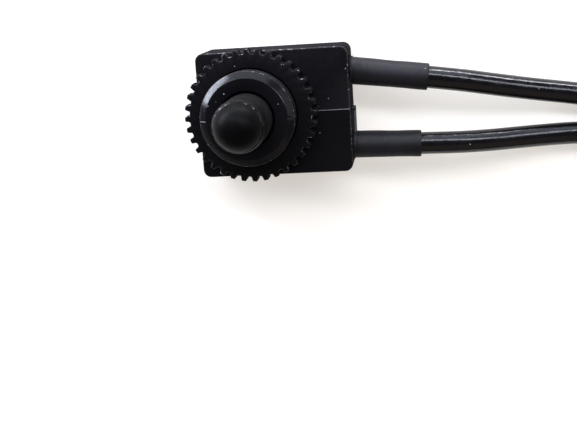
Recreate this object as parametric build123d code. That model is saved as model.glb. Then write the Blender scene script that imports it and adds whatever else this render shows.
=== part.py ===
from build123d import *
from math import cos, pi, radians, sin, tan
import os

# Sealed momentary pushbutton switch with two wire leads, in millimetres.
# It rests on its back face at z 0. The button's axis is the Z axis and the leads leave towards +X.

# Housing
housing_left = 7.0            # button axis to the wall on the left
housing_right = 12.5          # button axis to the wall that the leads leave from
housing_half_width = 8.0
housing_depth = 8.5
housing_wall = 1.3
housing_corner = 1.0          # radius of the upright corners
front_edge = 0.2              # rounding of the front edges
back_edge = 0.25              # chamfer of the back edges
nub_length = 0.6
nub_width = 0.5
nub_height = 1.4
nub_top = 7.6

# Bushing, moulded with the housing, thread at its nominal diameter
bushing_diameter = 12.0
bushing_height = 5.8          # above the front face
bushing_chamfer_in = 0.75
bushing_chamfer_down = 0.6
mouth_diameter = 7.0
mouth_edge = 0.15

# Ring nut
nut_teeth = 36
nut_tip_diameter = 16.86
nut_root_diameter = 15.6
nut_thickness = 2.2
nut_tooth_tip = 0.56
nut_tooth_base = 0.9
thread_clearance = 0.05       # between the nut's bore and the bushing

# Button
button_diameter = 6.5
button_shoulder = 5.8         # cylinder above the bushing's top, up to the dome
flange_clearance = 0.3         # round the flange in the gland's bore
flange_thickness = 0.8
stem_diameter = 2.6
stem_below_clip = 1.5
travel = 3.0
stop_gap = 0.05               # flange to seal retainer at rest
contact_gap_spare = 0.05      # what is left between the contacts at the end of the travel

# Seal in the bushing
seal_section = 1.0
seal_clearance = 0.025        # each side of the seal, and above and below it
retainer_bore_clearance = 0.07
retainer_height = 1.4

# Contacts and spring
bridge_thickness = 0.4
bridge_width = 3.0
bridge_margin = 0.4           # bridge beyond its contacts
bridge_clearance = 0.05       # bridge and clip on the stem
contact_diameter = 1.6
contact_height = 0.3
clip_diameter = 4.6
clip_thickness = 0.35
spring_wire = 0.28
spring_mean_diameter = 3.7
spring_turns = 5.0

# Terminals
strip_thickness = 0.5
strip_width = 2.4
strip_wall_gap = 0.7          # strip to the side wall of the housing
tab_width = 1.6
strip_start = -1.6
riser_x = 9.6                 # outer side of the upright leg
tab_end_x = 16.0
slot_clearance = 0.02
tab_bend = 0.05               # how far outside the pocket's floor the tab turns

# Back cover
cover_thickness = 1.0
cover_ledge = 0.6             # how far the cover reaches into the wall
cover_clearance = 0.05
rib_inset = 0.3               # rib narrower than the strip that lies on it, each side
collar_height = 0.7
collar_wall = 0.5
collar_clearance = 0.2

# Leads and sleeves
lead_diameter = 2.9
conductor_diameter = 1.1
conductor_flat = 0.06         # how far the strands flatten on the tab
lead_height = 4.6             # axis of the leads above the back face, at the wall
lead_in_upper = 0.25          # upper lead nearer to the middle than its contact
lead_out_lower = 0.3          # lower lead further out than its contact
angle_upper = -7.9            # heading in plan, from +X
angle_lower = -2.0
sleeve_diameter = 3.5
sleeve_bore = 3.0
sleeve_upper_length = 10.1    # outside the wall
sleeve_lower_length = 8.8
pocket_depth = 0.6
pocket_diameter = 4.1
insulation_start = 4.9        # from the wall
level_upper = 12.83           # from the wall to where the lead starts to drop
level_lower = 11.51
conductor_start = 0.9
solder_diameter = 1.7
solder_start = 1.2
tip_length = 6.0
hank_start = 48.0
hank_end = 105.9
hank_height = 3.35
hank_loop_centre = 93.0
tip_heading = 160.0
tip_start_upper = (56.5, 0.9)
tip_start_lower = (66.0, 2.2)
tie_x = 70.0
tie_width = 3.0
tie_thickness = 0.4

# Levels that follow from the sizes above
roof = housing_depth - housing_wall
bushing_top = housing_depth + bushing_height
dome_centre = bushing_top + button_shoulder
gland_diameter = button_diameter + 2 * (seal_section + 2 * seal_clearance)
flange_diameter = gland_diameter - 2 * flange_clearance
retainer_bottom = roof + flange_thickness
retainer_top = retainer_bottom + retainer_height
gland_roof = retainer_top + seal_section + 2 * seal_clearance
flange_top = retainer_bottom - stop_gap
flange_bottom = flange_top - flange_thickness
bridge_bottom = flange_bottom - bridge_thickness
moving_face = bridge_bottom - contact_height
fixed_face = moving_face - travel - contact_gap_spare
strip_top = fixed_face - contact_height
strip_bottom = strip_top - strip_thickness
clip_bottom = bridge_bottom - clip_thickness
stem_bottom = clip_bottom - stem_below_clip
tab_top = lead_height - conductor_diameter / 2 + conductor_flat
tab_bottom = tab_top - strip_thickness
inner_half = housing_half_width - housing_wall
contact_centre = inner_half - strip_wall_gap - strip_width / 2
bridge_half_length = contact_centre + contact_diameter / 2 + bridge_margin
lead_y_upper = contact_centre - lead_in_upper
lead_y_lower = -contact_centre - lead_out_lower

os.makedirs("parts", exist_ok=True)
made = {}


def keep(name, shape):
    # one solid for each piece, written under its own name
    solids = shape.solids()
    if len(solids) != 1:
        raise ValueError(f"{name} has {len(solids)} solids")
    made[name] = solids[0]
    export_step(solids[0], f"parts/{name}.step")


def block(x0, x1, y0, y1, z0, z1):
    middle = ((x0 + x1) / 2, (y0 + y1) / 2, (z0 + z1) / 2)
    return Pos(*middle) * Box(x1 - x0, y1 - y0, z1 - z0)


def disc(radius, z0, z1, x=0.0, y=0.0):
    return Pos(x, y, (z0 + z1) / 2) * Cylinder(radius, z1 - z0)


def round_bar(radius, start, heading, length):
    # a level round bar from a point, heading in degrees from +X
    direction = (cos(radians(heading)), sin(radians(heading)), 0)
    plane = Plane(origin=start, z_dir=direction)
    return extrude(plane * Circle(radius), length)


def from_wall(y, heading, distance):
    # the point on a lead's axis at a distance outside the wall
    return (
        housing_right + distance * cos(radians(heading)),
        y + distance * sin(radians(heading)),
        lead_height,
    )


# Housing with its bushing, open at the back
x_left = -housing_left
x_right = housing_right
body = block(x_left, x_right, -housing_half_width, housing_half_width, 0, housing_depth)
body = fillet(body.edges().filter_by(Axis.Z), housing_corner)
front = body.faces().sort_by(Axis.Z)[-1]
body = fillet(front.edges(), front_edge)
back = body.faces().sort_by(Axis.Z)[0]
body = chamfer(back.edges(), back_edge)
bushing = disc(bushing_diameter / 2, housing_depth - 0.5, bushing_top)
bushing = chamfer(
    bushing.edges().sort_by(Axis.Z)[-1:], bushing_chamfer_down, bushing_chamfer_in
)
nub = block(
    x_right - 0.2, x_right + nub_length, -nub_width / 2, nub_width / 2, nub_top - nub_height, nub_top
)
nub = fillet(nub.edges().filter_by(Axis.Z).sort_by(Axis.X)[-2:], 0.15)
housing = body + bushing + nub
cavity = block(
    x_left + housing_wall, x_right - housing_wall, -inner_half, inner_half, -1, roof
)
ledge_half = inner_half + cover_ledge
rebate = block(
    x_left + housing_wall - cover_ledge,
    x_right - housing_wall + cover_ledge,
    -ledge_half,
    ledge_half,
    -1,
    cover_thickness,
)
rebate = fillet(rebate.edges().filter_by(Axis.Z), 0.6)
housing -= cavity
housing -= rebate
housing -= disc(mouth_diameter / 2, roof - 1, bushing_top + 1)
housing -= disc(gland_diameter / 2, roof - 1, gland_roof)
lip = Pos(0, 0, bushing_top - mouth_edge / 2) * Cone(
    mouth_diameter / 2, mouth_diameter / 2 + mouth_edge, mouth_edge
)
housing -= lip
for lead_y, heading in ((lead_y_upper, angle_upper), (lead_y_lower, angle_lower)):
    housing -= round_bar(
        pocket_diameter / 2, (x_right - pocket_depth, lead_y, lead_height), 0, 2
    )
    housing -= block(
        x_right - housing_wall - 1,
        x_right + 1,
        lead_y - tab_width / 2 - slot_clearance,
        lead_y + tab_width / 2 + slot_clearance,
        tab_bottom - slot_clearance,
        tab_top + slot_clearance,
    )
keep("housing", housing)

# Back cover, let in flush, with ribs under the terminals and a collar round the spring
cover = block(
    x_left + housing_wall - cover_ledge + cover_clearance,
    x_right - housing_wall + cover_ledge - cover_clearance,
    -ledge_half + cover_clearance,
    ledge_half - cover_clearance,
    0,
    cover_thickness,
)
cover = fillet(cover.edges().filter_by(Axis.Z), 0.6)
spring_outer = (spring_mean_diameter + spring_wire) / 2
collar_inner = spring_outer + collar_clearance
cover += disc(collar_inner + collar_wall, cover_thickness, cover_thickness + collar_height) - disc(
    collar_inner, cover_thickness, cover_thickness + collar_height
)
for side in (1, -1):
    edge_in = side * (contact_centre - strip_width / 2 + rib_inset)
    edge_out = side * (contact_centre + strip_width / 2 - rib_inset)
    cover += block(
        strip_start,
        riser_x - 1.0,
        min(edge_in, edge_out),
        max(edge_in, edge_out),
        cover_thickness,
        strip_bottom,
    )
keep("back_cover", cover)

# Ring nut with straight toothed edge
tip_r = nut_tip_diameter / 2
root_r = nut_root_diameter / 2
outline = []
for i in range(nut_teeth):
    middle = 2 * pi * i / nut_teeth
    half_base = nut_tooth_base / 2 / root_r
    half_tip = nut_tooth_tip / 2 / tip_r
    outline.append((root_r, middle - half_base))
    outline.append((tip_r, middle - half_tip))
    outline.append((tip_r, middle + half_tip))
    outline.append((root_r, middle + half_base))
corners = [(r * cos(a), r * sin(a)) for r, a in outline]
nut = extrude(make_face(Polyline(*corners, close=True)), nut_thickness)
nut = Pos(0, 0, housing_depth) * nut
nut_bore = bushing_diameter / 2 + thread_clearance
nut -= disc(nut_bore, housing_depth - 1, housing_depth + nut_thickness + 1)
keep("ring_nut", nut)

# Button: dome, cylinder, flange and stem in one moulding
button_r = button_diameter / 2
profile = Polyline(
    (0, stem_bottom),
    (stem_diameter / 2 - 0.2, stem_bottom),
    (stem_diameter / 2, stem_bottom + 0.2),
    (stem_diameter / 2, flange_bottom),
    (flange_diameter / 2, flange_bottom),
    (flange_diameter / 2, flange_top),
    (button_r, flange_top),
    (button_r, dome_centre),
)
dome = ThreePointArc(
    (button_r, dome_centre),
    (button_r * cos(pi / 4), dome_centre + button_r * sin(pi / 4)),
    (0, dome_centre + button_r),
)
spine = Line((0, dome_centre + button_r), (0, stem_bottom))
section = make_face(Curve() + [profile, dome, spine])
button = revolve(Plane.XZ * section, Axis.Z)
keep("button", button)

# Seal and the ring pressed in below it
gland_r = gland_diameter / 2
seal_r = (button_r + gland_r) / 2
seal_z = retainer_top + seal_clearance + seal_section / 2
seal_round = RegularPolygon(seal_section / 2, 8)
seal_place = Pos(seal_r, seal_z) * seal_round
keep("plunger_seal", revolve(Plane.XZ * seal_place, Axis.Z))
retainer = disc(gland_r, retainer_bottom, retainer_top)
retainer -= disc(button_r + retainer_bore_clearance, retainer_bottom - 1, retainer_top + 1)
keep("seal_retainer", retainer)

# Contact bridge with its two contacts, and the clip that holds it on the stem
stem_hole = stem_diameter / 2 + bridge_clearance
bridge = block(
    -bridge_width / 2,
    bridge_width / 2,
    -bridge_half_length,
    bridge_half_length,
    bridge_bottom,
    flange_bottom,
)
bridge = fillet(bridge.edges().filter_by(Axis.Z), 0.6)
bridge -= disc(stem_hole, bridge_bottom - 1, flange_bottom + 1)
keep("contact_bridge", bridge)
for name, side in (("upper", 1), ("lower", -1)):
    moving = disc(contact_diameter / 2, moving_face, bridge_bottom, 0, side * contact_centre)
    keep(f"moving_contact_{name}", chamfer(moving.edges().sort_by(Axis.Z)[:1], 0.08))
    fixed = disc(contact_diameter / 2, strip_top, fixed_face, 0, side * contact_centre)
    keep(f"fixed_contact_{name}", chamfer(fixed.edges().sort_by(Axis.Z)[-1:], 0.08))
clip = disc(clip_diameter / 2, clip_bottom, bridge_bottom)
clip -= disc(stem_diameter / 2, clip_bottom - 1, bridge_bottom + 1)
keep("bridge_clip", clip)

# Return spring between the cover and the clip, as short straight lengths with mitred corners
spring_low = cover_thickness + spring_wire / 2 + 0.02
spring_high = clip_bottom - spring_wire / 2 - 0.02
coil_r = spring_mean_diameter / 2
spring_sides = 12
spring_steps = int(spring_turns * spring_sides)
coil = []
for i in range(spring_steps + 1):
    turned = 2 * pi * i / spring_sides
    rise = spring_low + (spring_high - spring_low) * i / spring_steps
    coil.append((coil_r * cos(turned), coil_r * sin(turned), rise))
coil_path = Polyline(*coil)
wire_section = Plane(origin=coil_path @ 0, z_dir=coil_path % 0) * RegularPolygon(
    spring_wire / 2, 6
)
spring = sweep(wire_section, path=coil_path, transition=Transition.RIGHT)
keep("return_spring", spring)

# Terminals: a strip on the cover's rib, an upright leg and a tab through the wall
for name, side, lead_y, heading in (
    ("upper", 1, lead_y_upper, angle_upper),
    ("lower", -1, lead_y_lower, angle_lower),
):
    strip = block(
        strip_start,
        riser_x,
        side * contact_centre - strip_width / 2,
        side * contact_centre + strip_width / 2,
        strip_bottom,
        strip_top,
    )
    low = lead_y - tab_width / 2
    high = lead_y + tab_width / 2
    riser = block(riser_x - strip_thickness, riser_x, low, high, strip_bottom, tab_top)
    bend_x = x_right - pocket_depth + tab_bend
    reach = (tab_end_x - bend_x) * tan(radians(heading))
    tab = make_face(
        Polyline(
            (riser_x - strip_thickness, low),
            (bend_x, low),
            (tab_end_x, low + reach),
            (tab_end_x, high + reach),
            (bend_x, high),
            (riser_x - strip_thickness, high),
            close=True,
        )
    )
    tab = Pos(0, 0, tab_bottom) * extrude(tab, strip_thickness)
    terminal = strip + riser + tab
    keep(f"terminal_{name}", terminal)

    # bare end of the lead on the tab, with its solder
    bare_length = insulation_start - conductor_start
    bare = round_bar(
        conductor_diameter / 2, from_wall(lead_y, heading, conductor_start), heading, bare_length
    )
    bare -= terminal
    solder_length = (tab_end_x - x_right) / cos(radians(heading)) - solder_start - 0.1
    solder = round_bar(
        solder_diameter / 2, from_wall(lead_y, heading, solder_start), heading, solder_length
    )
    solder = chamfer(solder.edges().filter_by(GeomType.CIRCLE), 0.3)
    solder -= terminal
    solder -= block(0, 30, -20, 20, 0, tab_top)
    solder -= bare
    keep(f"conductor_{name}", bare)
    keep(f"solder_{name}", solder)

# Heat shrink sleeves, from inside the pockets in the wall
for name, lead_y, heading, length in (
    ("upper", lead_y_upper, angle_upper, sleeve_upper_length),
    ("lower", lead_y_lower, angle_lower, sleeve_lower_length),
):
    inset = pocket_depth - 0.3
    start = from_wall(lead_y, heading, -inset)
    sleeve = round_bar(sleeve_diameter / 2, start, heading, length + inset)
    sleeve -= round_bar(sleeve_bore / 2, start, heading, length + inset)
    keep(f"sleeve_{name}", sleeve)

# Leads: straight runs with tangent arcs, from inside the sleeve down to the surface
ground = lead_diameter / 2
start_upper = from_wall(lead_y_upper, angle_upper, insulation_start)
start_lower = from_wall(lead_y_lower, angle_lower, insulation_start)
route_upper = [
    start_upper,
    from_wall(lead_y_upper, angle_upper, level_upper),
    (41.2, -0.55, ground + 0.05),
    (hank_start + 0.6, -1.85, ground + 0.05),
]
route_lower = [
    start_lower,
    from_wall(lead_y_lower, angle_lower, level_lower),
    (40.6, -5.72, ground + 0.05),
    (hank_start + 0.6, -5.87, ground + 0.05),
]


def lead_path(name, route):
    radii = []
    points = [Vector(*p) for p in route]
    for a, b, c in zip(points, points[1:], points[2:]):
        turn = (b - a).get_angle(c - b)
        shorter = min((b - a).length, (c - b).length)
        radii.append(0.45 * shorter / tan(radians(turn) / 2))
    print(name, "radii", [round(r, 1) for r in radii])
    return FilletPolyline(*points, radius=radii)


paths = {}
for name, route in (("upper", route_upper), ("lower", route_lower)):
    path = lead_path(f"lead_{name}", route)
    paths[name] = path
    tube_section = Plane(origin=path @ 0, z_dir=path % 0) * Circle(lead_diameter / 2)
    tube = sweep(tube_section, path=path)
    ideal = pi * lead_diameter ** 2 / 4 * path.length
    print(f"lead_{name} length {path.length:.2f} volume ratio {tube.volume / ideal:.4f}")
    tube -= block(hank_start, hank_start + 5, -20, 20, -5, 10)
    keep(f"lead_{name}", tube)

# Hank of the length that isn't laid out: one fold, held by a tie
loop_r = hank_end - hank_loop_centre
lead_side = lead_diameter / 2 + 0.1
along = (cos(radians(tip_heading)), sin(radians(tip_heading)))


def end_corner(start, side):
    # a corner of the square end of a strand that stops at start
    return (start[0] + side * lead_side * along[1], start[1] - side * lead_side * along[0])


edge_low = Polyline(
    (hank_start, -0.2), (hank_start, -7.5), (60.0, -8.4), (tie_x, -9.5), (81.0, -11.9), (90.0, -loop_r + 0.1)
)
edge_loop = ThreePointArc(
    (90.0, -loop_r + 0.1), (hank_end, 0.0), (90.0, loop_r - 0.1)
)
edge_high = Polyline(
    (90.0, loop_r - 0.1),
    (81.0, 9.4),
    (tie_x, 2.5),
    end_corner(tip_start_lower, 1),
    end_corner(tip_start_lower, -1),
    (64.0, 0.5),
    end_corner(tip_start_upper, 1),
    end_corner(tip_start_upper, -1),
    (hank_start, -0.2),
)
hank = extrude(make_face(Curve() + [edge_low, edge_loop, edge_high]), hank_height)
eye_r = loop_r - 6.1
eye = make_face(
    Curve()
    + [
        Polyline((91.0, eye_r), (84.0, 3.6), (78.0, -1.4), (78.0, -3.4), (91.0, -eye_r)),
        ThreePointArc((91.0, -eye_r), (hank_loop_centre + eye_r, 0.0), (91.0, eye_r)),
    ]
)
hank -= extrude(eye, hank_height)
waist_low = -9.3
waist_high = 2.3
tie_x0 = tie_x - tie_width / 2
tie_x1 = tie_x + tie_width / 2
around = block(tie_x0, tie_x1, -30, 30, -1, hank_height + 1)
waist = block(tie_x0, tie_x1, waist_low, waist_high, tie_thickness, hank_height)
hank = hank - (around - waist)
keep("lead_hank", hank)
tie = block(
    tie_x0,
    tie_x1,
    waist_low - tie_thickness,
    waist_high + tie_thickness,
    0,
    hank_height + tie_thickness,
)
tie = fillet(tie.edges().filter_by(Axis.X), 0.35)
tie -= waist
keep("lead_tie", tie)

# Tinned tips at the stripped far ends
for name, start in (("upper", tip_start_upper), ("lower", tip_start_lower)):
    tip = round_bar(conductor_diameter / 2, (*start, ground), tip_heading, tip_length)
    tip = chamfer(tip.edges().filter_by(GeomType.CIRCLE).sort_by(Axis.X)[:1], 0.12)
    keep(f"tip_{name}", tip)

print("stem bottom at full travel", round(stem_bottom - travel, 3), "cover top", cover_thickness)
print("spring length at rest", round(clip_bottom - cover_thickness, 3), "levels", round(strip_bottom, 3), round(fixed_face, 3))
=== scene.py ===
from math import atan2, cos, pi, radians, sin

import bmesh
import bpy
from mathutils import Matrix, Vector


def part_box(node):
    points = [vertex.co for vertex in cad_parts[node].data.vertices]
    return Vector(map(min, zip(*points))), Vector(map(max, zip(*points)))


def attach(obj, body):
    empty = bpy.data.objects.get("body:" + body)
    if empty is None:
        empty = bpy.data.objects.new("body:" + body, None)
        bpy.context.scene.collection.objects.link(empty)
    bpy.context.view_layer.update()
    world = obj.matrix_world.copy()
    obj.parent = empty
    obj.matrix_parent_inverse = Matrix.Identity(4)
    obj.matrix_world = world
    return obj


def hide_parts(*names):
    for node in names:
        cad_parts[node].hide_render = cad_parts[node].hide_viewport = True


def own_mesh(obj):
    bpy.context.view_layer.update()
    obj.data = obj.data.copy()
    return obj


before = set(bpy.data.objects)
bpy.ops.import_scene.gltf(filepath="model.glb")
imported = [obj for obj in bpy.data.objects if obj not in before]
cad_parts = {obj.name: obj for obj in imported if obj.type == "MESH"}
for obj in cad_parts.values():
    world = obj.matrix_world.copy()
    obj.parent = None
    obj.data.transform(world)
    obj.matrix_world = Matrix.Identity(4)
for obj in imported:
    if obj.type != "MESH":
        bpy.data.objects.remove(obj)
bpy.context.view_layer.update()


# Camera: it stands where the photograph was taken from, almost over the button, a little
# towards the leads and past the upper one, and it is turned as the picture is.
mm = 0.001


def at(x, y, z):
    return Vector((x, y, z)) * mm


def across(x, y, z):
    return Vector((x, y, z)).normalized()


eye = at(20.952, 16.635, 147.895)
right = across(0.99198, -0.06481, -0.10855)
upward = across(0.04001, 0.97541, -0.21672)
backward = right.cross(upward).normalized()
lens = bpy.data.cameras.new("camera")
lens.sensor_width = 36.0
lens.lens = 68.75
lens.clip_start = 0.005
lens.clip_end = 20.0
camera = bpy.data.objects.new("camera", lens)
bpy.context.scene.collection.objects.link(camera)
camera.matrix_world = Matrix(
    (
        (right.x, upward.x, backward.x, eye.x),
        (right.y, upward.y, backward.y, eye.y),
        (right.z, upward.z, backward.z, eye.z),
        (0.0, 0.0, 0.0, 1.0),
    )
)
bpy.context.scene.camera = camera


# Leads: two stranded hook-up wires in glossy black insulation, soldered to the switch
# inside the sleeves. What the photograph doesn't show of them is folded once and tied.
def place(obj, body="switch_body"):
    bpy.context.scene.collection.objects.link(obj)
    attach(obj, body)
    return obj


def finish_nodes(name):
    material = bpy.data.materials.new(name)
    material.use_nodes = True
    nodes = material.node_tree.nodes
    links = material.node_tree.links
    shader = nodes["Principled BSDF"]
    where = nodes.new("ShaderNodeTexCoord")
    return material, nodes, links, shader, where.outputs["Object"]


def noise(nodes, links, where, scale, detail=3.0, rough=0.5):
    node = nodes.new("ShaderNodeTexNoise")
    node.inputs["Scale"].default_value = scale
    node.inputs["Detail"].default_value = detail
    node.inputs["Roughness"].default_value = rough
    links.new(where, node.inputs["Vector"])
    return node.outputs["Fac"]


def between(nodes, links, value, low_in, high_in, low_out, high_out):
    node = nodes.new("ShaderNodeMapRange")
    node.inputs["From Min"].default_value = low_in
    node.inputs["From Max"].default_value = high_in
    node.inputs["To Min"].default_value = low_out
    node.inputs["To Max"].default_value = high_out
    links.new(value, node.inputs["Value"])
    return node.outputs["Result"]


def blend_colour(nodes, links, amount, first, second):
    # first and second are colours, or the outputs that give them
    node = nodes.new("ShaderNodeMix")
    node.data_type = "RGBA"
    for socket, colour in (("A", first), ("B", second)):
        if isinstance(colour, tuple):
            node.inputs[socket].default_value = (*colour, 1.0)
        else:
            links.new(colour, node.inputs[socket])
    links.new(amount, node.inputs["Factor"])
    return node.outputs["Result"]


def relief(nodes, links, height, shader, strength, depth, under=None):
    node = nodes.new("ShaderNodeBump")
    node.inputs["Strength"].default_value = strength
    node.inputs["Distance"].default_value = depth
    links.new(height, node.inputs["Height"])
    if under is not None:
        links.new(under, node.inputs["Normal"])
    links.new(node.outputs["Normal"], shader.inputs["Normal"])
    return node.outputs["Normal"]


def worked_out(nodes, links, operation, first, second):
    # one step of arithmetic on an output, with another output or with a number
    node = nodes.new("ShaderNodeMath")
    node.operation = operation
    links.new(first, node.inputs[0])
    if isinstance(second, float):
        node.inputs[1].default_value = second
    else:
        links.new(second, node.inputs[1])
    return node.outputs[0]


def dusted(nodes, links, where, colour, share):
    # pale specks, about a tenth of a millimetre across, in a share of the cells
    dust_colour = (0.42, 0.42, 0.45)
    cells = nodes.new("ShaderNodeTexVoronoi")
    cells.inputs["Scale"].default_value = 900.0
    links.new(where, cells.inputs["Vector"])
    parts = nodes.new("ShaderNodeSeparateColor")
    links.new(cells.outputs["Color"], parts.inputs["Color"])
    size = between(nodes, links, parts.outputs["Green"], 0.0, 1.0, 0.035, 0.078)
    speck = worked_out(nodes, links, "LESS_THAN", cells.outputs["Distance"], size)
    chosen = worked_out(nodes, links, "GREATER_THAN", parts.outputs["Red"], 1.0 - share)
    strength = between(nodes, links, parts.outputs["Blue"], 0.0, 1.0, 0.12, 0.9)
    strength = worked_out(nodes, links, "MULTIPLY", strength, speck)
    strength = worked_out(nodes, links, "MULTIPLY", strength, chosen)
    return blend_colour(nodes, links, strength, colour, dust_colour)


def insulation_finish():
    material, nodes, links, shader, where = finish_nodes("insulation")
    shader.inputs["IOR"].default_value = 1.52
    shader.inputs["Specular IOR Level"].default_value = 0.3
    scuffs = noise(nodes, links, where, 900.0, 5.0, 0.6)
    waves = noise(nodes, links, where, 140.0, 2.0, 0.5)
    scuffed = between(nodes, links, scuffs, 0.35, 0.75, 0.0, 1.0)
    black = (0.0026, 0.0023, 0.0032)
    greyed = (0.005, 0.0045, 0.0058)
    colour = blend_colour(nodes, links, scuffed, black, greyed)
    links.new(dusted(nodes, links, where, colour, 0.25), shader.inputs["Base Color"])
    links.new(between(nodes, links, scuffs, 0.4, 0.75, 0.12, 0.28), shader.inputs["Roughness"])
    first = relief(nodes, links, waves, shader, 0.3, 0.00006)
    grain = noise(nodes, links, where, 2600.0, 3.0)
    relief(nodes, links, grain, shader, 0.7, 0.00003, first)
    return material


insulation = insulation_finish()
lead_radius = 0.00145


def lead_piece(name, route):
    line = bpy.data.curves.new(name, "CURVE")
    line.dimensions = "3D"
    line.bevel_depth = lead_radius
    line.bevel_resolution = 10
    line.resolution_u = 14
    line.use_fill_caps = True
    spline = line.splines.new("NURBS")
    spline.points.add(len(route) - 1)
    for point, (x, y, z) in zip(spline.points, route):
        point.co = (x, y, z, 1.0)
    spline.order_u = 3
    spline.use_endpoint_u = True
    line.materials.append(insulation)
    return place(bpy.data.objects.new(name, line))


lead_upper = lead_piece(
    "lead_upper_insulation",
    (
        (0.017353, 0.003877, 0.0046),
        (0.025208, 0.002787, 0.0046),
        (0.0306, 0.0017, 0.0037),
        (0.0360, 0.00062, 0.0024),
        (0.0412, -0.00025, 0.0015),
        (0.0486, -0.0016, 0.0015),
        (0.0560, -0.0031, 0.0015),
        (0.0630, -0.0041, 0.0016),
        (0.0700, -0.0050, 0.0018),
        (0.0770, -0.0063, 0.0016),
        (0.0850, -0.0079, 0.0015),
        (0.0930, -0.00873, 0.00145),
        (0.09942, -0.00642, 0.00145),
        (0.10208, 0.0, 0.00145),
        (0.09942, 0.00642, 0.00145),
        (0.0930, 0.00908, 0.00145),
        (0.0850, 0.0066, 0.00145),
        (0.0775, 0.0015, 0.0015),
        (0.0700, -0.0021, 0.0018),
        (0.0635, -0.0012, 0.0016),
        (0.0565, 0.0009, 0.00145),
    ),
)
lead_lower = lead_piece(
    "lead_lower_insulation",
    (
        (0.017397, -0.005271, 0.0046),
        (0.024003, -0.005502, 0.0046),
        (0.0294, -0.00562, 0.0037),
        (0.0348, -0.00553, 0.0024),
        (0.0406, -0.00542, 0.0015),
        (0.0486, -0.0056, 0.0015),
        (0.0560, -0.0063, 0.0015),
        (0.0630, -0.0070, 0.0016),
        (0.0700, -0.0079, 0.0018),
        (0.0770, -0.0094, 0.0016),
        (0.0850, -0.01125, 0.0015),
        (0.0930, -0.01197, 0.00145),
        (0.10171, -0.00871, 0.00145),
        (0.10532, 0.0, 0.00145),
        (0.10171, 0.00871, 0.00145),
        (0.0930, 0.01232, 0.00145),
        (0.0845, 0.0095, 0.00145),
        (0.0770, 0.0046, 0.0015),
        (0.0700, 0.0008, 0.0018),
        (0.0660, 0.0022, 0.00145),
    ),
)
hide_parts("lead_upper", "lead_hank")
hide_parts("lead_lower", "lead_hank")


# Tinned tips: the far ends of the leads are stripped, and their strands are twisted
# together and dipped in solder, so the twist still shows under the tin.
def tin_finish(name, colour, dull):
    material, nodes, links, shader, where = finish_nodes(name)
    shader.inputs["Metallic"].default_value = 1.0
    blotches = noise(nodes, links, where, 1400.0, 4.0, 0.55)
    links.new(blend_colour(nodes, links, blotches, colour, dull), shader.inputs["Base Color"])
    links.new(between(nodes, links, blotches, 0.3, 0.7, 0.22, 0.45), shader.inputs["Roughness"])
    relief(nodes, links, noise(nodes, links, where, 2600.0, 3.0), shader, 0.3, 0.00002)
    return material


tinned = tin_finish("tinned_strands", (0.72, 0.72, 0.73), (0.5, 0.49, 0.48))


def mesh_piece(name, bm, materials, body="switch_body", angle=0.6):
    # closes and smooths a piece, and keeps edges that bend by more than angle sharp
    mesh = bpy.data.meshes.new(name)
    bmesh.ops.remove_doubles(bm, verts=bm.verts[:], dist=1e-7)
    bmesh.ops.recalc_face_normals(bm, faces=bm.faces[:])
    for face in bm.faces:
        face.smooth = True
    for edge in bm.edges:
        if len(edge.link_faces) != 2 or edge.calc_face_angle(0.0) > angle:
            edge.smooth = False
    bm.to_mesh(mesh)
    bm.free()
    for material in materials:
        mesh.materials.append(material)
    return place(bpy.data.objects.new(name, mesh), body)


def along(heading, start):
    # lays something made along Z level, at a heading in degrees from +X, and moves it to start
    direction = Vector((cos(radians(heading)), sin(radians(heading)), 0.0))
    return Matrix.Translation(start) @ direction.to_track_quat("Z", "Y").to_matrix().to_4x4()


def stranded_tip(name, start, heading):
    strands = 7
    radius = 0.00055
    length = 0.0059
    steps = 40
    rounded_steps = 3
    twist = Matrix.Rotation(radians(5.0), 3, "Z")
    bm = bmesh.new()
    ring = bmesh.ops.create_circle(bm, cap_ends=False, segments=strands * 6, radius=radius)["verts"]
    for vert in ring:
        turn = atan2(vert.co.y, vert.co.x) * strands
        vert.co *= 0.90 + 0.10 * abs(cos(turn / 2))
    edges = bm.edges[:]
    for i in range(steps):
        made = bmesh.ops.extrude_edge_only(bm, edges=edges)["geom"]
        verts = [g for g in made if isinstance(g, bmesh.types.BMVert)]
        edges = [g for g in made if isinstance(g, bmesh.types.BMEdge)]
        bmesh.ops.translate(bm, verts=verts, vec=(0, 0, length / steps))
        bmesh.ops.rotate(bm, verts=verts, cent=(0, 0, 0), matrix=twist)
        if i >= steps - rounded_steps:
            bmesh.ops.scale(bm, verts=verts, vec=(0.86, 0.86, 1.0))
    bmesh.ops.contextual_create(bm, geom=edges)
    bmesh.ops.contextual_create(bm, geom=[e for e in bm.edges if e.is_boundary])
    bmesh.ops.transform(bm, matrix=along(heading, start), verts=bm.verts[:])
    tip = mesh_piece(name, bm, [tinned])
    return tip


tip_upper = stranded_tip("tip_upper_strands", at(56.5, 0.9, 1.45), 160.0)
tip_lower = stranded_tip("tip_lower_strands", at(66.0, 2.2, 1.45), 160.0)
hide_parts("tip_upper")
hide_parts("tip_lower")


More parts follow.
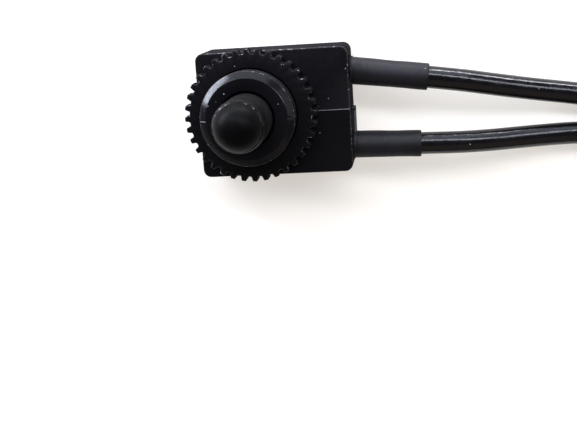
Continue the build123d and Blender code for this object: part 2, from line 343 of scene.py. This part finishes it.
# Sleeves: heat shrink tube over each solder joint, matte dark grey. It starts with a rolled
# lip in the housing's pocket, grips the insulation and ends in a plain cut edge.
def sleeve_finish():
    material, nodes, links, shader, where = finish_nodes("heat_shrink")
    shader.inputs["IOR"].default_value = 1.5
    shader.inputs["Specular IOR Level"].default_value = 0.2
    cloud = noise(nodes, links, where, 260.0, 4.0, 0.55)
    fine = noise(nodes, links, where, 2600.0, 3.0, 0.6)
    clouded = between(nodes, links, cloud, 0.3, 0.7, 0.0, 1.0)
    dark = (0.0045, 0.0041, 0.0058)
    light = (0.0105, 0.0098, 0.013)
    colour = blend_colour(nodes, links, clouded, dark, light)
    links.new(dusted(nodes, links, where, colour, 0.4), shader.inputs["Base Color"])
    links.new(between(nodes, links, fine, 0.3, 0.7, 0.5, 0.66), shader.inputs["Roughness"])
    first = relief(nodes, links, cloud, shader, 0.4, 0.0001)
    relief(nodes, links, fine, shader, 0.5, 0.00003, first)
    return material


heat_shrink = sleeve_finish()


def spun(bm, outline, steps, closed=True):
    # turns (radius, height) points, in millimetres, round the Z axis
    points = [bm.verts.new((r * mm, 0.0, z * mm)) for r, z in outline]
    after = points[1:] + points[:1] if closed else points[1:]
    line = [bm.edges.new((a, b)) for a, b in zip(points, after)]
    bmesh.ops.spin(
        bm, geom=points + line, cent=(0, 0, 0), axis=(0, 0, 1), angle=2 * pi, steps=steps,
        use_merge=True, use_duplicate=False,
    )


def sleeve_piece(name, start, heading, length):
    skin = [
        (1.66, -0.25), (1.72, -0.1), (1.84, 0.03), (1.86, 0.16), (1.78, 0.26), (1.76, 0.58),
        (1.79, 0.66), (1.76, 0.74), (1.75, 1.8), (1.745, 3.2), (1.73, 4.4), (1.72, 5.6),
        (1.725, length * 0.72), (1.72, length * 0.86), (1.72, length - 0.3),
        (1.70, length - 0.06), (1.64, length),
    ]
    lining = [(1.47, length - 0.02), (1.465, length - 0.3), (1.465, length * 0.5), (1.465, -0.2)]
    lip_end = 0.0002
    bm = bmesh.new()
    spun(bm, skin + lining, 64)
    bmesh.ops.remove_doubles(bm, verts=bm.verts[:], dist=1e-7)
    for vert in bm.verts:
        # the skin is a little uneven all along, and more so on the lip
        turn = atan2(vert.co.y, vert.co.x)
        along_it = vert.co.z
        ripple = 1.0 + 0.008 * sin(2 * turn + along_it * 900.0)
        ripple += 0.006 * sin(3 * turn - along_it * 1500.0)
        if 0.0 < along_it < lip_end:
            ripple += 0.025 * sin(9 * turn) * sin(4 * turn + 1.0) + 0.02 * sin(23 * turn)
        vert.co.x *= ripple
        vert.co.y *= ripple
    bmesh.ops.transform(bm, matrix=along(heading, start), verts=bm.verts[:])
    sleeve = mesh_piece(name, bm, [heat_shrink], angle=0.9)
    return sleeve


sleeve_upper = sleeve_piece("sleeve_upper_shrink", at(12.5, 4.55, 4.6), -7.9, 10.1)
sleeve_lower = sleeve_piece("sleeve_lower_shrink", at(12.5, -5.1, 4.6), -2.0, 8.8)
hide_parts("sleeve_upper")
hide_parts("sleeve_lower")


# Tie: a band of soft black plastic with fine ribs along it, pulled flat round the folded
# leads. It holds the length that is put away.
def moulded_finish(name, dark, light, rough, grain, depth, dust=0.0, level=0.5):
    # rough is the lowest and highest roughness, grain and depth those of the fine relief
    material, nodes, links, shader, where = finish_nodes(name)
    shader.inputs["IOR"].default_value = 1.5
    shader.inputs["Specular IOR Level"].default_value = level
    cloud = noise(nodes, links, where, 160.0, 3.0, 0.5)
    fine = noise(nodes, links, where, grain, 4.0, 0.6)
    clouded = between(nodes, links, cloud, 0.3, 0.7, 0.0, 1.0)
    colour = blend_colour(nodes, links, clouded, dark, light)
    if dust:
        colour = dusted(nodes, links, where, colour, dust)
    links.new(colour, shader.inputs["Base Color"])
    links.new(between(nodes, links, fine, 0.3, 0.7, *rough), shader.inputs["Roughness"])
    first = relief(nodes, links, cloud, shader, 0.25, 0.00005)
    relief(nodes, links, fine, shader, 0.35, depth, first)
    return material


def bevelled(bm, edges, width, segments, material=-1, clamp=False):
    bmesh.ops.bevel(
        bm, geom=edges, offset=width, offset_type="OFFSET", segments=segments, profile=0.5,
        affect="EDGES", material=material, clamp_overlap=clamp,
    )


tie_plastic = moulded_finish(
    "tie_plastic", (0.008, 0.008, 0.0085), (0.014, 0.014, 0.0145), (0.4, 0.55), 3000.0, 0.00001,
    level=0.35,
)
nodes = tie_plastic.node_tree.nodes
links = tie_plastic.node_tree.links
ribs = nodes.new("ShaderNodeTexWave")
ribs.bands_direction = "Y"
ribs.inputs["Scale"].default_value = 560.0
ribs.inputs["Distortion"].default_value = 0.4
links.new(nodes["Texture Coordinate"].outputs["Object"], ribs.inputs["Vector"])
shader = nodes["Principled BSDF"]
grain_under = shader.inputs["Normal"].links[0].from_socket
relief(nodes, links, ribs.outputs["Fac"], shader, 0.5, 0.00008, grain_under)
band_width, band_across, band_height = 0.003, 0.0124, 0.00375
band_middle = (0.070, -0.0035, band_height / 2)
band_rounding = 0.0014
band_thickness = 0.0004
bm = bmesh.new()
bmesh.ops.create_cube(bm, size=1.0)
bmesh.ops.scale(bm, verts=bm.verts[:], vec=(band_width, band_across, band_height))
bmesh.ops.translate(bm, verts=bm.verts[:], vec=band_middle)
long_edges = [e for e in bm.edges if abs(e.verts[0].co.x - e.verts[1].co.x) > 0.002]
bevelled(bm, long_edges, band_rounding, 5)
ends = [f for f in bm.faces if abs(f.normal.x) > 0.9]
bmesh.ops.inset_region(bm, faces=ends, thickness=band_thickness, depth=0.0)
bmesh.ops.delete(bm, geom=ends, context="FACES_ONLY")
rims = [e for e in bm.edges if e.is_boundary]
bmesh.ops.bridge_loops(bm, edges=rims)
tie = mesh_piece("lead_tie_band", bm, [tie_plastic], angle=0.5)
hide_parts("lead_tie")


# Housing: a box of semi-gloss black plastic with the threaded bushing moulded on it. The
# mould parts along the middle, which leaves a fine raised line and a gate nub at the right.
housing_plastic = moulded_finish(
    "housing_plastic", (0.003, 0.0028, 0.0038), (0.0043, 0.004, 0.0052), (0.3, 0.42), 1900.0,
    0.00001, dust=0.45, level=0.105,
)
rim_plastic = moulded_finish(
    "rim_plastic", (0.0023, 0.0023, 0.0029), (0.0045, 0.0044, 0.0052), (0.14, 0.26), 2600.0,
    0.00002, level=0.21,
)
side_plastic = moulded_finish(
    "side_plastic", (0.007, 0.0067, 0.0082), (0.0108, 0.0103, 0.0122), (0.68, 0.82), 1900.0,
    0.00002, dust=0.45, level=0.005,
)
thread_plastic = moulded_finish(
    "thread_plastic", (0.007, 0.007, 0.008), (0.011, 0.0108, 0.012), (0.4, 0.55), 2300.0, 0.00001,
    level=0.05,
)
flash_plastic = moulded_finish(
    "flash_plastic", (0.08, 0.08, 0.084), (0.16, 0.158, 0.16), (0.45, 0.6), 3200.0, 0.00001
)


def rubbed_and_highlight_finish():
    # edges with crumbs of paler, rubbed plastic on them; the pale colour is also painted highlight
    # where the edges catch the light
    material, nodes, links, shader, where = finish_nodes("rubbed_edge_and_highlight")
    crumbs = noise(nodes, links, where, 2300.0, 5.0, 0.7)
    worn_and_highlit = between(nodes, links, crumbs, 0.56, 0.65, 0.0, 1.0)
    colour = blend_colour(nodes, links, worn_and_highlit, (0.0025, 0.0025, 0.003), (0.25, 0.25, 0.265))
    links.new(colour, shader.inputs["Base Color"])
    shader.inputs["Roughness"].default_value = 0.5
    shader.inputs["Specular IOR Level"].default_value = 0.18
    relief(nodes, links, crumbs, shader, 0.5, 0.00003)
    return material


rubbed_edge_and_highlight = rubbed_and_highlight_finish()


def loose_object(name, bm):
    mesh = bpy.data.meshes.new(name)
    bm.to_mesh(mesh)
    bm.free()
    obj = bpy.data.objects.new(name, mesh)
    bpy.context.scene.collection.objects.link(obj)
    return obj


def height_of(face):
    return face.calc_center_median().z


# the box, with rounded corners and edges
box_length, box_width, box_depth = 0.0195, 0.016, 0.0085
box_middle = (0.00275, 0.0, box_depth / 2)
corner_radius = 0.001
front_rounding = 0.0002
back_rounding = 0.00025
bm = bmesh.new()
bmesh.ops.create_cube(bm, size=1.0)
bmesh.ops.scale(bm, verts=bm.verts[:], vec=(box_length, box_width, box_depth))
bmesh.ops.translate(bm, verts=bm.verts[:], vec=box_middle)
upright = [e for e in bm.edges if abs(e.verts[0].co.z - e.verts[1].co.z) > box_depth / 2]
bevelled(bm, upright, corner_radius, 8)
front = max(bm.faces, key=height_of)
bevelled(bm, list(front.edges), front_rounding, 4)
back = min(bm.faces, key=height_of)
bevelled(bm, list(back.edges), back_rounding, 3)

# it is open at the back: the cover's rebate first, then the cavity, each farther in and deeper
rebate = (0.00045, 0.001)
cavity = (0.0006, 0.0062)
back = min(bm.faces, key=height_of)
for inward, deeper in (rebate, cavity):
    bmesh.ops.inset_region(bm, faces=[back], thickness=inward, depth=0.0)
    sunk = bmesh.ops.extrude_discrete_faces(bm, faces=[back])["faces"]
    back = sunk[0]
    bmesh.ops.translate(bm, verts=list(back.verts), vec=(0, 0, deeper))
bmesh.ops.recalc_face_normals(bm, faces=bm.faces[:])
box_piece = loose_object("box", bm)


def rod(bm, radius, length, sides):
    return bmesh.ops.create_cone(
        bm, cap_ends=True, segments=sides, radius1=radius, radius2=radius, depth=length
    )["verts"]


# the pockets for the sleeves in the right wall, and the hole under the bushing
pocket_radius, pocket_cut = 0.00205, 0.002
hole_radius, hole_cut = 0.0043, 0.003
lead_height = 0.0046
bm = bmesh.new()
for lead_y in (0.00455, -0.0051):
    pocket = rod(bm, pocket_radius, pocket_cut, 48)
    bmesh.ops.rotate(bm, verts=pocket, cent=(0, 0, 0), matrix=Matrix.Rotation(pi / 2, 3, "Y"))
    bmesh.ops.translate(bm, verts=pocket, vec=(0.0129, lead_y, lead_height))
hole = rod(bm, hole_radius, hole_cut, 64)
bmesh.ops.translate(bm, verts=hole, vec=(0.0, 0.0, 0.008))
cutter = loose_object("cutter", bm)
cut = box_piece.modifiers.new("cut", "BOOLEAN")
cut.operation = "DIFFERENCE"
cut.solver = "MANIFOLD"
cut.object = cutter
bpy.context.view_layer.update()
evaluated = box_piece.evaluated_get(bpy.context.evaluated_depsgraph_get())
cut_mesh = bpy.data.meshes.new_from_object(evaluated)
bpy.data.objects.remove(box_piece)
bpy.data.objects.remove(cutter)

bm = bmesh.new()
bm.from_mesh(cut_mesh)
bpy.data.meshes.remove(cut_mesh)

# bushing: thread core, plain collar, satin chamfer, flat end and stepped bore
spun(
    bm,
    [
        (5.42, 7.3), (5.42, 13.2), (5.84, 13.4), (5.91, 13.48), (5.93, 13.56), (5.93, 13.66),
        (5.91, 13.7), (5.88, 13.725), (5.19, 14.25), (5.16, 14.27), (5.1, 14.3), (3.65, 14.3),
        (3.54, 14.25), (3.5, 14.15), (3.5, 10.5), (4.3, 10.5), (4.3, 7.3),
    ],
    128,
)
bmesh.ops.remove_doubles(bm, verts=bm.verts[:], dist=2e-7)

# raised parting line all round, where the two halves of the mould met
half_line = 0.00005
line_height = 0.00003
for shift in (-half_line, 0.0, half_line):
    everything = bm.verts[:] + bm.edges[:] + bm.faces[:]
    bmesh.ops.bisect_plane(
        bm, geom=everything, dist=1e-8, plane_co=(0, shift, 0), plane_no=(0, 1, 0)
    )
bm.normal_update()
for vert in bm.verts:
    if abs(vert.co.y) < 1e-7:
        x, z = vert.co.x, vert.co.z
        outer_wall = x > 0.01245 or x < -0.00695
        front_face = z > 0.00812 and abs(x) > 0.0065
        rim = 0.0133 < z and abs(x) > 0.0051
        wobble = 1.0 + 0.35 * sin(x * 5200.0) * sin(x * 1900.0 + 1.0)
        if z > 0.00005 and (outer_wall or front_face or rim):
            vert.co += vert.normal * line_height * wobble

# each part of the moulding has the surface that its own part of the mould gave it; some edges also
# take pale rubbed crumbs that are partly painted highlight
housing_finishes = [
    housing_plastic, flash_plastic, rim_plastic, side_plastic, thread_plastic, rubbed_edge_and_highlight
]
flash_slot, rim_slot, side_slot, thread_slot, rubbed_highlight_slot = range(1, 6)
chamfer_foot = 0.01369
for face in bm.faces:
    middle = face.calc_center_median()
    x, y, z = middle
    out = middle.xy.length
    upwards = face.normal.z
    if 0.0086 < z < chamfer_foot and out > 0.0052:
        face.material_index = thread_slot
    if z > chamfer_foot and out > 0.0051 and upwards < 0.98:
        face.material_index = rim_slot
    # painted highlight: the collar's outer top edge takes the pale crumbs all round, partly rubbed
    # plastic
    if 0.01366 < z < 0.01372 and out > 0.00588:
        face.material_index = rubbed_highlight_slot
    right_part = x > 0.0065
    left_of_rim = x < -0.0052 and z > 0.0138
    if abs(y) < half_line and z > 0.0081 and (right_part or left_of_rim):
        face.material_index = flash_slot
    near_outside = abs(y) > 0.0069 or x < -0.0059 or x > 0.0114
    if 0.0004 < z < 0.0083 and abs(upwards) < 0.2 and near_outside:
        face.material_index = side_slot
    # painted highlight: only the front edges on the right and the top, which catch the light, take
    # the pale crumbs
    painted_highlight_edge = x > 0.0118 or y > 0.0074
    if 0.00835 < z < 0.00849 and painted_highlight_edge and upwards < 0.95:
        face.material_index = rubbed_highlight_slot

# gate nub, where the plastic was fed in and snapped off
nub_radius = 0.0003
nub_place = (0.01272, -0.00015, 0.0068)
nub = bmesh.ops.create_icosphere(bm, subdivisions=3, radius=nub_radius)["verts"]
bmesh.ops.scale(bm, verts=nub, vec=(1.7, 0.95, 1.6))
for vert in nub:
    vert.co *= 1.0 + 0.12 * sin(vert.co.x * 9000.0) * cos(vert.co.z * 7000.0)
bmesh.ops.translate(bm, verts=nub, vec=nub_place)

# thin flash that stands off the right wall along the back edge, below the nub
flash_size = (0.0005, 0.0035, 0.00012)
flash_middle = (0.01255, -0.00225, 0.00035)
flash = bmesh.ops.create_cube(bm, size=1.0)["verts"]
bmesh.ops.scale(bm, verts=flash, vec=flash_size)
bmesh.ops.translate(bm, verts=flash, vec=flash_middle)
for face in bm.faces:
    if face.verts[0] in flash and face.calc_center_median().z > 0.0004:
        face.material_index = flash_slot
housing = mesh_piece("housing_moulding", bm, housing_finishes, angle=0.45)
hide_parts("housing")

# thread: one ridge wound round the core
section = ((5.3, 7.95), (5.84, 8.33), (5.87, 8.37), (5.87, 8.45), (5.84, 8.49), (5.3, 8.87))
thread_pitch = 0.001
turns = 4.85
a_turn = 72
bm = bmesh.new()
ridge = [bm.verts.new((r * mm, 0.0, z * mm)) for r, z in section]
ridge_edges = [bm.edges.new((a, b)) for a, b in zip(ridge, ridge[1:] + ridge[:1])]
bmesh.ops.spin(
    bm, geom=ridge + ridge_edges, cent=(0, 0, 0), axis=(0, 0, 1),
    dvec=(0, 0, thread_pitch / a_turn), angle=2 * pi * turns, steps=int(turns * a_turn),
    use_merge=False, use_duplicate=False,
)
bmesh.ops.holes_fill(bm, edges=[e for e in bm.edges if e.is_boundary], sides=0)
thread = mesh_piece("bushing_thread", bm, [thread_plastic], angle=0.5)
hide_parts("housing")


# Ring nut: moulded black plastic with square teeth all round for the fingers, screwed
# down the bushing onto the housing. Its upper tooth edges are pale: rubbed plastic, and
# painted highlight where they catch the light.
nut_plastic = moulded_finish(
    "nut_plastic", (0.0027, 0.0025, 0.0032), (0.0039, 0.0036, 0.0045), (0.32, 0.42), 2100.0,
    0.00001, dust=0.45, level=0.095,
)
teeth = 36
tip_radius = 8.43
root_radius = 7.8
bore_radius = 6.03
thickness = 0.0022
half_pitch = pi / teeth
half_root = 0.45 / root_radius
half_tip = 0.28 / tip_radius
sector = [
    (bore_radius, -half_pitch), (root_radius, -half_pitch), (root_radius, -half_root),
    (tip_radius, -half_tip), (tip_radius, half_tip), (root_radius, half_root),
    (root_radius, half_pitch), (bore_radius, half_pitch),
]
bm = bmesh.new()
corners = [bm.verts.new((r * cos(a) * mm, r * sin(a) * mm, box_depth)) for r, a in sector]
bm.faces.new(corners)
bmesh.ops.spin(
    bm, geom=bm.faces[:] + bm.edges[:] + bm.verts[:], cent=(0, 0, 0), axis=(0, 0, 1),
    angle=2 * pi, steps=teeth, use_merge=False, use_duplicate=True,
)
bmesh.ops.remove_doubles(bm, verts=bm.verts[:], dist=2e-6)
top = bmesh.ops.extrude_face_region(bm, geom=bm.faces[:])["geom"]
raised = [g for g in top if isinstance(g, bmesh.types.BMVert)]
bmesh.ops.translate(bm, verts=raised, vec=(0, 0, thickness))
bmesh.ops.recalc_face_normals(bm, faces=bm.faces[:])
bm.normal_update()


def sharp_edges(bm):
    return [e for e in bm.edges if len(e.link_faces) == 2 and e.calc_face_angle(0.0) > 0.5]


# the teeth are rounded more than the bore, and their upper edges take pale crumbs of rubbed plastic
# with painted highlight
outside_bore = 0.0062
tooth_rounding = 0.00009
bore_rounding = 0.00006
outer_edges = [e for e in sharp_edges(bm) if e.verts[0].co.xy.length > outside_bore]
bevelled(bm, outer_edges, tooth_rounding, 2, material=1, clamp=True)
bore_edges = [e for e in sharp_edges(bm) if e.verts[0].co.xy.length < outside_bore]
bevelled(bm, bore_edges, bore_rounding, 1, material=0, clamp=True)
nut_finishes = [nut_plastic, rubbed_edge_and_highlight, side_plastic]
rubbed_highlight_edge_slot, tooth_slot = 1, 2
for face in bm.faces:
    middle = face.calc_center_median()
    face.material_index = 0
    if middle.xy.length > 0.007:
        if middle.z > 0.01058 and 0.15 < face.normal.z < 0.95:
            face.material_index = rubbed_highlight_edge_slot
        if abs(face.normal.z) < 0.15:
            face.material_index = tooth_slot
ring_nut = mesh_piece("ring_nut_moulding", bm, nut_finishes, "ring_nut", angle=0.5)
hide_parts("ring_nut")


# Button: one satin black moulding, a rod with a round end, a flange that stops it in the
# bushing and a stem for the contact bridge. A fine ring is left near the top of the dome.
button_plastic = moulded_finish(
    "button_plastic", (0.0075, 0.0068, 0.0076), (0.0105, 0.0095, 0.0104), (0.36, 0.46), 2300.0,
    0.000012, level=0.042,
)
nodes = button_plastic.node_tree.nodes
links = button_plastic.node_tree.links
# painted shade and light: the colour darkens from the rod to the dome's middle, so the rod shows
# lighter and the dome darker, as the light falls on them
height = nodes.new("ShaderNodeSeparateXYZ")
links.new(nodes["Texture Coordinate"].outputs["Object"], height.inputs[0])
painted_shade_towards_dome = between(nodes, links, height.outputs["Z"], 0.0176, 0.0204, 0.0, 1.0)
base = nodes["Principled BSDF"].inputs["Base Color"]
dome_painted_shade = (0.0019, 0.0017, 0.0019)
rod_light_dome_shade = blend_colour(nodes, links, painted_shade_towards_dome, base.links[0].from_socket, dome_painted_shade)
links.new(rod_light_dome_shade, base)
button_radius = 3.25
ring_radius = 3.175
dome_radius = 3.22
dome_centre = 20.1
ring_angle = 21.5
outline = [
    (0.0, 4.9), (1.1, 4.9), (1.3, 5.1), (1.3, 7.15), (4.0, 7.15), (4.0, 7.95),
    (button_radius, 7.95), (button_radius, 14.0), (button_radius, 19.4),
    (button_radius, dome_centre),
]
for i in range(1, 46):
    angle = i * 2.0
    radius = dome_radius
    if angle < ring_angle:
        radius = button_radius
    elif angle < ring_angle + 2.0:
        radius = ring_radius
    outline.append((radius * cos(radians(angle)), dome_centre + radius * sin(radians(angle))))
outline[-1] = (0.0, dome_centre + dome_radius)
bm = bmesh.new()
spun(bm, outline, 96, closed=False)
bmesh.ops.remove_doubles(bm, verts=bm.verts[:], dist=2e-7)
# the ring left by the mould isn't quite level, and is rubbed in places
for vert in bm.verts:
    if 0.0211 < vert.co.z < 0.02145:
        turn = atan2(vert.co.y, vert.co.x)
        vert.co.z += 0.00003 * sin(5 * turn) + 0.00002 * sin(13 * turn + 1.0)
for face in bm.faces:
    middle = face.calc_center_median()
    turn = atan2(middle.y, middle.x)
    rubbed = sin(3 * turn + 0.4) + 0.8 * sin(7 * turn) + 0.5 * sin(17 * turn) > 0.2
    face.material_index = 1 if rubbed and 0.02118 < middle.z < 0.0214 else 0
button = mesh_piece("button_moulding", bm, [button_plastic, rubbed_edge_and_highlight], "plunger", angle=0.7)
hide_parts("button")


# Pieces inside the housing: they keep their solids and get the finish of what they are
# made of, brass strips, silver contacts, a steel clip, tin solder and plastic.
def metal_finish(name, colour, dull, rough, streak):
    # streak stretches the lines that rolling or drawing left in the metal
    material, nodes, links, shader, where = finish_nodes(name)
    shader.inputs["Metallic"].default_value = 1.0
    stretch = nodes.new("ShaderNodeMapping")
    stretch.inputs["Scale"].default_value = streak
    links.new(where, stretch.inputs["Vector"])
    lines = noise(nodes, links, stretch.outputs["Vector"], 900.0, 4.0, 0.6)
    links.new(blend_colour(nodes, links, lines, colour, dull), shader.inputs["Base Color"])
    links.new(between(nodes, links, lines, 0.3, 0.7, *rough), shader.inputs["Roughness"])
    relief(nodes, links, lines, shader, 0.25, 0.000008)
    return material


brass = metal_finish(
    "stamped_brass", (0.72, 0.52, 0.22), (0.5, 0.36, 0.16), (0.2, 0.38), (0.15, 1.0, 1.0)
)
silver = metal_finish(
    "contact_silver", (0.85, 0.84, 0.81), (0.66, 0.65, 0.62), (0.15, 0.3), (1.0, 1.0, 1.0)
)
steel = metal_finish(
    "spring_steel", (0.55, 0.55, 0.57), (0.4, 0.4, 0.42), (0.2, 0.35), (1.0, 1.0, 0.3)
)
solder = tin_finish("joint_solder", (0.75, 0.75, 0.76), (0.55, 0.54, 0.53))
cover_plastic = moulded_finish(
    "cover_plastic", (0.009, 0.009, 0.0095), (0.014, 0.014, 0.0145), (0.4, 0.55), 1500.0, 0.00002
)
retainer_plastic = moulded_finish(
    "retainer_plastic", (0.34, 0.32, 0.27), (0.42, 0.4, 0.34), (0.4, 0.55), 1500.0, 0.00001
)
seal_rubber = moulded_finish(
    "seal_rubber", (0.009, 0.009, 0.009), (0.016, 0.016, 0.016), (0.6, 0.75), 2200.0, 0.00001
)
made_of = {
    "terminal_upper": brass,
    "terminal_lower": brass,
    "contact_bridge": brass,
    "moving_contact_upper": silver,
    "moving_contact_lower": silver,
    "fixed_contact_upper": silver,
    "fixed_contact_lower": silver,
    "bridge_clip": steel,
    "solder_upper": solder,
    "solder_lower": solder,
    "conductor_upper": tinned,
    "conductor_lower": tinned,
    "back_cover": cover_plastic,
    "seal_retainer": retainer_plastic,
    "plunger_seal": seal_rubber,
}
for node, finish in made_of.items():
    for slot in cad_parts[node].material_slots:
        slot.material = finish


# Return spring: thin steel wire wound five times, with close turns at both ends. It stands
# on the back cover under the clip, drawn at its rest length; the real one shortens by the button's
# travel when that is pressed.
spring_low, spring_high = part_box("return_spring")
wire_radius = 0.000135
coil_radius = 0.00185
play = 0.00001
a_turn = 24
open_turns = 3
close_pitch = 0.00032
first = spring_low.z + wire_radius + play
last = spring_high.z - wire_radius - play
open_pitch = (last - first - 2 * close_pitch) / open_turns
bm = bmesh.new()
upright = Matrix.Translation((coil_radius, 0, first)) @ Matrix.Rotation(pi / 2, 4, "X")
bmesh.ops.create_circle(bm, cap_ends=False, segments=10, radius=wire_radius, matrix=upright)
end = bm.verts[:] + bm.edges[:]
for turns, pitch in ((1, close_pitch), (open_turns, open_pitch), (1, close_pitch)):
    wound = bmesh.ops.spin(
        bm, geom=end, cent=(0, 0, 0), axis=(0, 0, 1), dvec=(0, 0, pitch / a_turn),
        angle=2 * pi * turns, steps=turns * a_turn,
    )
    end = wound["geom_last"]
bmesh.ops.holes_fill(bm, edges=bm.edges[:], sides=0)
spring = mesh_piece("spring_coil", bm, [steel])
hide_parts("return_spring")
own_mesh(spring)


# Studio: a pale table and soft lamps. The table shows a little lighter to the camera and
# in reflections, and keeps the shadow of the switch.
table_paint = bpy.data.materials.new("table")
table_paint.use_nodes = True
nodes = table_paint.node_tree.nodes
links = table_paint.node_tree.links
shader = nodes["Principled BSDF"]
shader.inputs["Base Color"].default_value = (0.6, 0.58, 0.54, 1.0)
shader.inputs["Roughness"].default_value = 0.7
shader.inputs["Specular IOR Level"].default_value = 0.1
ray = nodes.new("ShaderNodeLightPath").outputs
seen = worked_out(nodes, links, "MAXIMUM", ray["Is Camera Ray"], ray["Is Glossy Ray"])
seen = worked_out(nodes, links, "MAXIMUM", seen, ray["Is Transmission Ray"])
table_lift = 0.53
lift = worked_out(nodes, links, "MULTIPLY", seen, table_lift)
shader.inputs["Emission Color"].default_value = (1.0, 0.96, 0.9, 1.0)
links.new(lift, shader.inputs["Emission Strength"])
bm = bmesh.new()
bmesh.ops.create_grid(bm, x_segments=1, y_segments=1, size=3.0)
table = loose_object("table", bm)
table.data.materials.append(table_paint)
table.location.z = -0.00002

world = bpy.data.worlds.new("studio")
world.use_nodes = True
backdrop = world.node_tree.nodes["Background"]
backdrop.inputs["Color"].default_value = (0.9, 0.93, 1.0, 1.0)
backdrop.inputs["Strength"].default_value = 0.12
bpy.context.scene.world = world


def lamp(name, azimuth, height, distance, wide, tall, radiance, colour):
    # azimuth and height are in degrees, and every lamp faces the switch
    data = bpy.data.lights.new(name, "AREA")
    data.shape = "RECTANGLE"
    data.size = wide
    data.size_y = tall
    data.energy = radiance * pi * wide * tall
    data.color = colour
    obj = bpy.data.objects.new(name, data)
    bpy.context.scene.collection.objects.link(obj)
    turn, rise = radians(azimuth), radians(height)
    direction = Vector((cos(turn) * cos(rise), sin(turn) * cos(rise), sin(rise)))
    obj.location = direction * distance
    obj.rotation_euler = direction.to_track_quat("Z", "Y").to_euler()


lamp("low_strip_left", 144.0, 11.0, 1.0, 0.8, 0.22, 33.0, (0.8, 0.86, 1.0))
lamp("low_strip_right", 84.0, 2.8, 1.0, 1.25, 0.075, 63.0, (0.9, 0.93, 1.0))
lamp("overhead", 74.0, 53.0, 1.0, 1.7, 0.17, 14.5, (0.86, 0.9, 1.0))
lamp("soft_box", 100.0, 30.0, 1.1, 1.5, 0.62, 2.7, (0.78, 0.83, 1.0))
lamp("side_fill", 15.0, 24.0, 1.1, 0.9, 0.45, 1.0, (0.95, 0.95, 1.0))
lamp("warm_fill", -85.0, 40.0, 1.2, 2.2, 1.2, 0.34, (1.0, 0.74, 0.54))

bpy.context.scene.view_settings.view_transform = "Standard"
bpy.context.view_layer.update()
